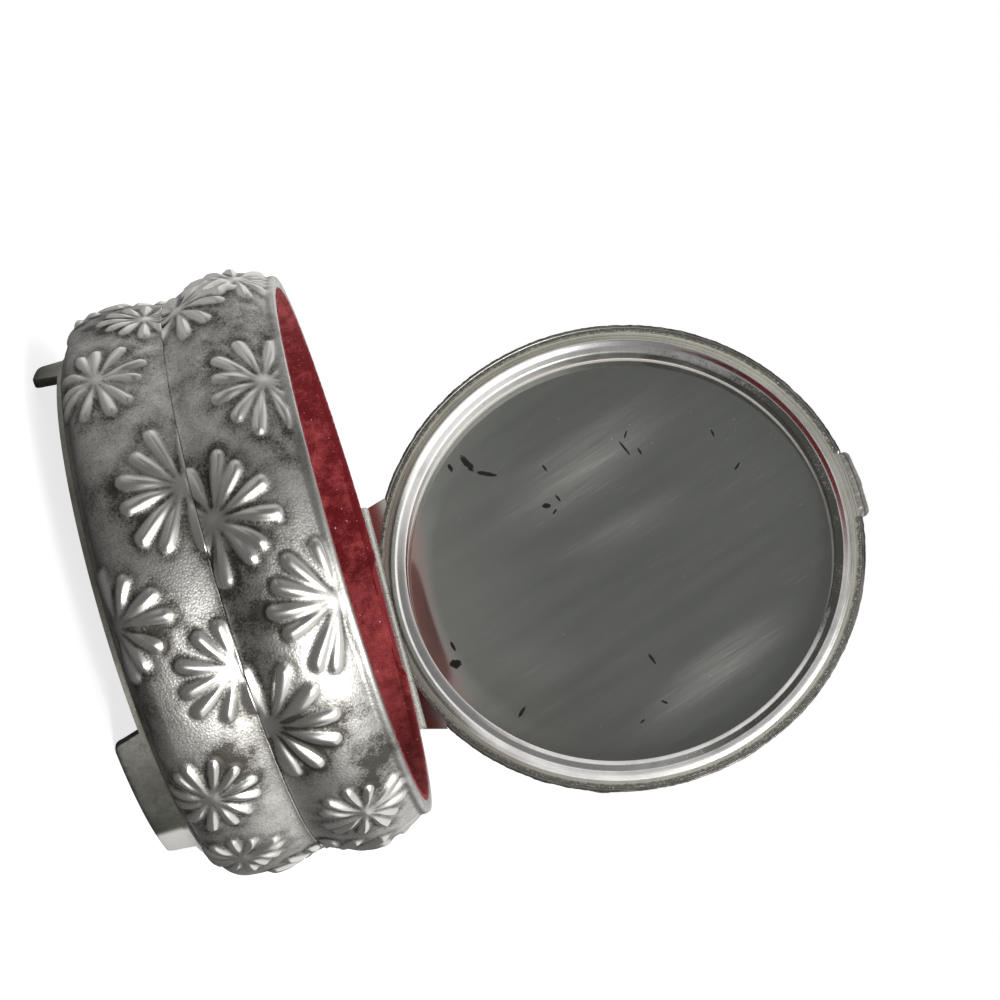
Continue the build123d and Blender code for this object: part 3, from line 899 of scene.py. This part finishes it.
def make_foot(name, node, centre):
    """A curved plate: a rounded oblong section carried round the drum's axis.

    The section's lower edge is level under the foot's middle. Towards each end it rises by a rounded
    corner a millimetre high, and from there in a straight line to the base.
    """
    radius, thickness, height = 34.2, 1.2, 3.6
    corner_turn, line_turn, end_turn = 18.4, 20.1, 21.5
    turn = end_turn * np.sin(np.linspace(-math.pi / 2, math.pi / 2, 161))
    past = np.clip((np.abs(turn) - corner_turn) / (line_turn - corner_turn), 0.0, 1.0)
    line = 1.0 + (np.abs(turn) - line_turn) / (end_turn - line_turn) * 2.58
    low = np.where(np.abs(turn) > line_turn, line, 1.0 - np.sqrt(1.0 - past**2))
    section = np.array(
        [(0.6, 0), (0.1, 0.03), (0.03, 0.1), (0, 0.25), (0, 0.6), (0, height), (0.6, height), (thickness, height)]
        + [(thickness, 0.6), (thickness, 0.25), (1.17, 0.1), (1.1, 0.03)]
    )
    up = np.minimum(low + section[:, 1:], height)
    points = about_axis(radius - thickness + section[:, :1], np.radians(centre + turn), up)
    return grid_piece(name, points, tarnished, "drum", node, around=False, crease=50)


for side, centre in [("front_left", -157.5), ("front_right", -22.5), ("back", 90.0)]:
    make_foot(f"{side}_foot_plate", f"foot_{side}", centre)


# Velvet


def make_wall_velvet():
    """The lining: a thin strip round the cup's wall with a flat back, its top edge rolled over the cup.

    Its profile goes from the rolled edge down the inner face and back up behind it. The nap moves the
    inner face by a small noise. The flat back is 1.3 mm inside each radius, and the top dips in its middle.
    """
    columns, face_rows, noise_radius = 900, 60, 35.0
    roll = np.array(
        [(35.45, 32.95), (35.42, 33.2), (35.15, 33.27), (34.85, 33.24), (34.68, 33.12), (34.56, 32.92), (34.48, 32.6)]
    )
    face = np.c_[np.full(face_rows, 34.45), np.linspace(32.2, 6.6, face_rows)]
    back = np.array([(34.9, 6.6), (35.05, 12.0), (35.05, 31.0), (35.06, 32.9)])
    profile = np.concatenate([roll, face, back])
    napped = np.repeat([0.6, 1.0, 0.0], [len(roll), face_rows, len(back)])[:, None]
    angle = round_angles(columns)
    around = noise_radius * angle
    level = spread(profile[:, 1], columns)
    nap = speckle(around, level, 0.5, 21) * 0.05 + speckle(around, level, 3.5, 22) * 0.05
    radius = profile[:, :1] - (nap + 0.02) * napped
    level = level + speckle(around, level, 0.27, 25) * 0.07 * (level > 33.1)
    points = about_axis(radius, angle, level)
    x, y, z = np.moveaxis(points, -1, 0)
    y[:] = np.minimum(y, radius - 1.3)
    z[:] = np.minimum(z, np.where(y > 0, 32.4 + smooth(np.abs(x), 6.3, 10.0), np.inf))
    return grid_piece("wall_velvet", points, velvet, "drum", "wall_lining")


wall_velvet = make_wall_velvet()


def make_floor_velvet():
    """The padded floor: a disc with a flat back, slightly crowned, whose edge rolls down to the card."""
    columns, crown_rows = 360, 60
    share = np.concatenate([np.linspace(0, 0.97, crown_rows), [0.985, 0.995, 1.0, 1.0, 0.99, 0.0]])[:, None]
    drop = np.concatenate([np.zeros(crown_rows), [0.06, 0.2, 0.4, 0.7, 0.8, 0.8]])[:, None]
    angle = round_angles(columns)
    x, y = 34.3 * share * np.cos(angle), 34.3 * share * np.sin(angle)
    top = drop < 0.75
    nap = (speckle(x + 40, y + 40, 0.5, 23) * 0.04 + speckle(x + 40, y + 40, 5.0, 24) * 0.06) * top
    level = 7.0 - drop - 0.12 * share**2 * top + np.minimum(nap - 0.06 * top, 0.0)
    points = np.stack([x, np.minimum(y, 33.1 * (0.9 + 0.1 * share)), level], axis=-1)
    return grid_piece("floor_velvet_pad", points, velvet, "drum", "floor_velvet", ends_meet=False)


floor_velvet = make_floor_velvet()


# Lid


def lid_points(along, across, out):
    """Places in the lid's frame, from hinge to tab, across, and out of the mirror, put into the object's."""
    return np.stack([-across, -out, along], axis=-1) + (0.0, LID_Y, LID_Z)


# The middle daisy, then two rings: radius, reach and number of petals, turn for each degree round, angles
LID_DAISIES = [(0.0, 0.0, 9.6, 14, 6)] + [
    (ring * math.cos(math.radians(a)), ring * math.sin(math.radians(a)), reach, petals, a * turn)
    for ring, reach, petals, turn, angles in [
        (21.5, 8.8, 13, 1.7, (12, 63, 115, 166, 217, 269, 320)),
        (36.5, 7.6, 12, 2.3, (-12, 38, 90, 141, 192, 243, 294)),
    ]
    for a in angles
]


def make_lid_cover():
    """The lid's embossed dish: a domed profile turned round the lid's axis, with relief along its normal.

    The flat sheet for the daisies is polar, its radius being the arc length from the dome's middle. The
    edge is ragged. The hinge side is cut straight across, and notched for the leaf, as the front is for
    the tab.
    """
    columns, brim, bend = 760, 0.6, 4.0
    side = np.array([(LID_RADIUS, 0.0), (LID_RADIUS, -brim)])
    half_way = (LID_RADIUS - bend * (1 - math.sqrt(0.5)), -brim - bend * math.sqrt(0.5))
    shoulder = arc_through((LID_RADIUS, -brim), half_way, (32.0, -4.6), 60)
    dome = arc_through((32.0, -4.6), (16.0, -5.125), (0.0, -LID_DEPTH), 200)
    outer, run = even(np.concatenate([side, shoulder[1:], dome[1:]]), 104)
    normals = side_normals(outer)
    angle = round_angles(columns)
    flat_radius = (run[-1] - run)[:, None]
    flat_x, flat_y = flat_radius * np.cos(angle), flat_radius * np.sin(angle)
    relief, film = daisy_field(flat_x, flat_y, LID_DAISIES)
    daylight = smooth(run, 0.2, 0.9)[:, None]
    relief, film = soften(relief, 1) * daylight, film * daylight
    noise_x, noise_y = flat_x + 50, flat_y + 50
    grain = pebbles(noise_x, noise_y, 31)
    ground = GROUND_DEPTH * daylight
    push = -ground + np.minimum(relief * RELIEF_HEIGHT, ground) + 0.02 * grain * daylight
    ragged = speckle(noise_x, noise_y, 1.1, 33) * 0.04 + speckle(noise_x, noise_y, 0.45, 34) * 0.05
    push -= (ragged + 0.09) * (1.0 - smooth(run, 0.6, 2.4))[:, None]
    radius = np.maximum(outer[:, :1] + push * normals[:, :1], 0.0)
    out = outer[:, 1:] + push * normals[:, 1:]
    radius[-1] = 0.0
    out[-1] = out[-1].mean()
    inner = np.array(
        [(0.0, -4.45), (17.0, -4.22), (31.6, -3.8), (33.2, -3.0), (34.5, -1.9), (34.95, -0.9), (35.38, -0.55)]
        + [(35.4, -0.1), (35.5, 0.0)]
    )
    radius, out = with_inner(radius, inner[:, 0]), with_inner(out, inner[:, 1])
    along, across = radius * np.cos(angle), radius * np.sin(angle)
    wall = np.repeat([0.0, 0.6], [len(outer), len(inner)])[:, None]
    wall[-2:] = 0.0
    along = np.maximum(along, -LID_CHORD + wall)
    leaf_half = HINGE_HALF + (along + LID_CHORD) / 3.5
    at_leaf = (along < -LID_CHORD + 3.5) & (np.abs(across) < leaf_half)
    at_tab = (along > 33.6) & (np.abs(across) < 5.2)
    out = np.where(at_leaf | at_tab, np.minimum(out, -1.0), out)
    # At the lid's edge the tarnish_and_painted_light values hold tarnishing only
    tarnish_and_painted_light = spread(1.1 * (1.0 - smooth(run, 0.8, 3.0)), columns)
    values = plate_values(relief, film, tarnish_and_painted_light, daylight, len(inner))
    points = lid_points(along, across, out)
    return grid_piece("lid_cover_dish", points, embossed, "lid", "lid_cover", values=values)


make_lid_cover()


def make_bezel():
    """The spun ring: wall, sloping ledge, rounded bead and flat flange, turned round the lid's axis.

    The underside runs back under them and down behind the wall. The ring is cut straight across at the
    hinge. The bead's centre is a little off the lid's, by a shift that fades at the wall and the edge.
    """
    columns, wall_rows = 512, 14
    wall = np.c_[np.full(wall_rows, BEAD_INNER), np.linspace(-MIRROR_DROP, -0.05, wall_rows)]
    ledge = np.array([(BEAD_INNER, 0.02), (31.47, 0.1), (31.65, 0.18), (31.9, 0.22), (32.2, 0.26), (32.5, 0.3)])
    bead_radius = np.concatenate([np.linspace(32.54, 33.5, 24), np.linspace(33.52, 33.95, 16)])
    bead_out = 0.3 + 0.54 * smooth(bead_radius, 32.5, 33.5) - 0.87 * smooth(bead_radius, 33.5, 33.95)
    bead = np.c_[bead_radius, bead_out]
    foot = np.array([(33.98, -0.04), (34.02, -0.035)])
    flange = np.c_[np.linspace(34.05, 35.25, 9), 0.02 * np.sin(np.linspace(0.0, 9.0, 9)) - 0.02]
    edge = np.array([(35.36, -0.05), (35.4, -0.16), (35.4, -BEZEL_SHEET)])
    under = np.array(
        [
            (BEAD_OUTER - BEZEL_SHEET, -BEZEL_SHEET),
            (BEAD_OUTER - BEZEL_SHEET, 0.0),
            (32.5, -0.1),
            (BEAD_INNER + BEZEL_SHEET, -0.15),
            (BEAD_INNER + BEZEL_SHEET, -MIRROR_DROP),
        ]
    )
    profile = np.concatenate([wall, ledge, bead, foot, flange, edge, under])
    angle = round_angles(columns)
    along = np.maximum(profile[:, :1] * np.cos(angle), -BEZEL_CHORD)
    shift = BEAD_SHIFT * smooth(profile[:, 0], BEAD_INNER, 32.4) * (1.0 - smooth(profile[:, 0], 34.1, 35.25))
    shift[-len(under):] = 0.0
    across = profile[:, :1] * np.sin(angle) - shift[:, None]
    out = spread(profile[:, 1], columns)
    points = lid_points(along, across, out)
    return grid_piece("bezel_ring", points, turned, "lid", "lid_bezel", crease=50)


make_bezel()


def make_tab():
    """The thumb tab: a thin plate with a worn, wavy outline, a groove inside its outer edge and small dents.

    Its section runs out along the front, round the edge and back. Both ends are rounded, then drawn to a point.
    """
    half, corner_size, root, middle = 5.15, 0.8, 33.9, -0.72
    front_rows, dented_rows = 30, 28
    across = half * np.sin(np.linspace(-math.pi / 2, math.pi / 2, 161))
    corner = np.clip((np.abs(across) - (half - corner_size)) / corner_size, 0.0, 1.0)
    reach = 36.98 - 0.012 * (across + 5.0) + 0.07 * speckle(across, 0 * across, 1.3, 51)
    reach = np.sqrt(reach**2 - across**2) - corner_size * (1.0 - np.sqrt(1.0 - corner**2))
    front = np.linspace(0.0, 1.0, front_rows)
    share = np.concatenate([front, [1.015, 1.02, 1.01, 0.5, 0.0]])[:, None]
    groove = np.exp(-(((front - 0.8) / 0.05) ** 2)) * 0.16 + 0.05 * np.clip(0.8 - front, 0.0, 0.3)
    out = np.concatenate([-0.43 - groove, [-0.5, -0.7, -0.92, -0.97, -0.97]])[:, None]
    along = root + (reach - root) * share
    dents = np.maximum(speckle(across + 30, along, 0.7, 52), 0.0) * 0.1
    dents = dents + np.maximum(speckle(across + 30, along, 0.28, 53), 0.0) * 0.06
    out = out - dents * (np.arange(len(share)) < dented_rows)[:, None]
    pinch = np.abs(across) <= half - 0.001
    points = lid_points(along, across * np.ones_like(along), middle + (out - middle) * pinch)
    return grid_piece("tab_plate", points, pitted, "lid", "thumb_tab", around=False, crease=60)


make_tab()


def make_mirror():
    """The silvered disc: flat in the middle, its front easing back at the edge by 0.03 mm, and by 0.07 at the hinge.

    The drop is a smoothstep of the radius over the outer 4.7 mm.
    """
    columns = 360
    radius = np.concatenate([np.linspace(0.0, 26.0, 14), np.linspace(26.3, 32.0, 30), [32.2, 32.2, 32.0, 0.0]])
    angle = round_angles(columns)
    ease = 0.03 + 0.04 * np.maximum(-np.cos(angle), 0.0) ** 2
    out = -MIRROR_DROP - 0.01 - ease * smooth(radius, 27.5, 32.2)[:, None]
    out[-3:] = np.array([[-0.9], [-1.0], [-1.0]]) - MIRROR_DROP
    along, across = radius[:, None] * np.cos(angle), radius[:, None] * np.sin(angle)
    points = lid_points(along, across, out)
    return grid_piece("mirror_disc", points, mirror, "lid", "mirror_glass", ends_meet=False, crease=50)


make_mirror()

# Nodes whose shape is right get their finishes
for name, finish in {
    "base_plate": tarnished,
    "inner_cup": cup,
    "floor_card": card,
    "body_hinge_leaf": rolled,
    "hinge_pin": rolled,
    "lid_hinge_leaf": rolled,
    "mirror_backing": card,
}.items():
    for held in nodes[name].material_slots:
        held.material = finish


# Stage, world and lamps


def white_floor(wire):
    """White to the camera, and mirrored in the object grey on the side of -X and dark on the side of +X."""
    mirrored = wire.blend(wire.xyz[0].step(-0.08, 0.02), (0.56, 0.56, 0.56), (0.17, 0.17, 0.17))
    return {
        "Base Color": wire.blend(wire.ray("Glossy"), (0.5, 0.505, 0.515), mirrored),
        "Emission Strength": wire.ray("Camera") * 0.78,
    }


def stage_floor():
    """A wide pale floor that the camera sees as white except where the object's shadow falls."""
    mesh = bpy.data.meshes.new("floor")
    span = 6.0
    mesh.from_pydata([(-span, -span, 0), (span, -span, 0), (span, span, 0), (-span, span, 0)], [], [(0, 1, 2, 3)])
    fixed = {"Roughness": 1.0, "Specular IOR Level": 0.0, "Emission Color": (1.0, 1.0, 1.0, 1.0)}
    mesh.materials.append(new_finish("floor", fixed, white_floor))
    new_object("floor", mesh)


stage_floor()

world = bpy.data.worlds.new("studio")
scene.world = world
world.use_nodes = True
sky = world.node_tree
background = sky.nodes["Background"]
wire = Wire(sky)
direction = wire.add("TexCoord", {}, {}, 0)
seen_white = wire.ray("Camera").most(wire.ray("Transmission"))
glossy = wire.ray("Glossy")


def facing(aim):
    """The cosine of the direction with an aim."""
    return wire.add("VectorMath", {"operation": "DOT_PRODUCT"}, {0: direction, 1: aim}, 1)


# What reflections see: a room that is dark on one side, and soft round patches of light. A patch has an aim,
# the cosines at which it begins and is full, and a strength.
room = facing((-0.33, -0.94, 0.0)).step(-0.35, 0.55)
reflected = 1.05 - 0.86 * room + 0.25 * room * facing((0.0, 0.0, 1.0)).step(0.1, 0.8)
for aim, begin, full, strength in [
    ((0.8, -0.59, 0.08), 0.88, 0.98, 0.5),
    ((0.6, -0.52, 0.6), 0.84, 0.95, 1.5),
    ((-0.98, -0.19, 0.1), 0.72, 0.97, 0.5),
    ((0.9, -0.24, 0.37), 0.92, 0.99, 0.9),
]:
    reflected = reflected + strength * facing(aim).step(begin, full)
level = seen_white + (1.0 - seen_white) * (glossy * reflected + (1.0 - glossy) * 0.5)
sky.links.new(level.socket, background.inputs["Strength"])
background.inputs["Color"].default_value = (1.0, 1.0, 1.0, 1.0)


def lamp(name, place, target, size, power):
    """A square soft lamp at a place in metres, turned to a target."""
    data = bpy.data.lights.new(name, "AREA")
    data.shape = "SQUARE"
    data.size = size
    data.energy = power
    light = new_object(name, data)
    back = np.array(place, float) - np.array(target, float)
    back /= np.linalg.norm(back)
    side = np.cross((0.0, 0.0, 1.0), back)
    side /= np.linalg.norm(side)
    up = np.cross(back, side)
    matrix = np.eye(4)
    matrix[:3, 0], matrix[:3, 1], matrix[:3, 2], matrix[:3, 3] = side, up, back, place
    light.matrix_world = Matrix(matrix.tolist())
    return light


lamp("key", (0.455, -0.325, 0.22), (0.0, 0.0, 0.03), 0.24, 2.6)
lamp("top", (0.05, -0.15, 0.7), (0.0, 0.0, 0.03), 0.4, 2.0).visible_glossy = False

scene.view_settings.view_transform = "Standard"
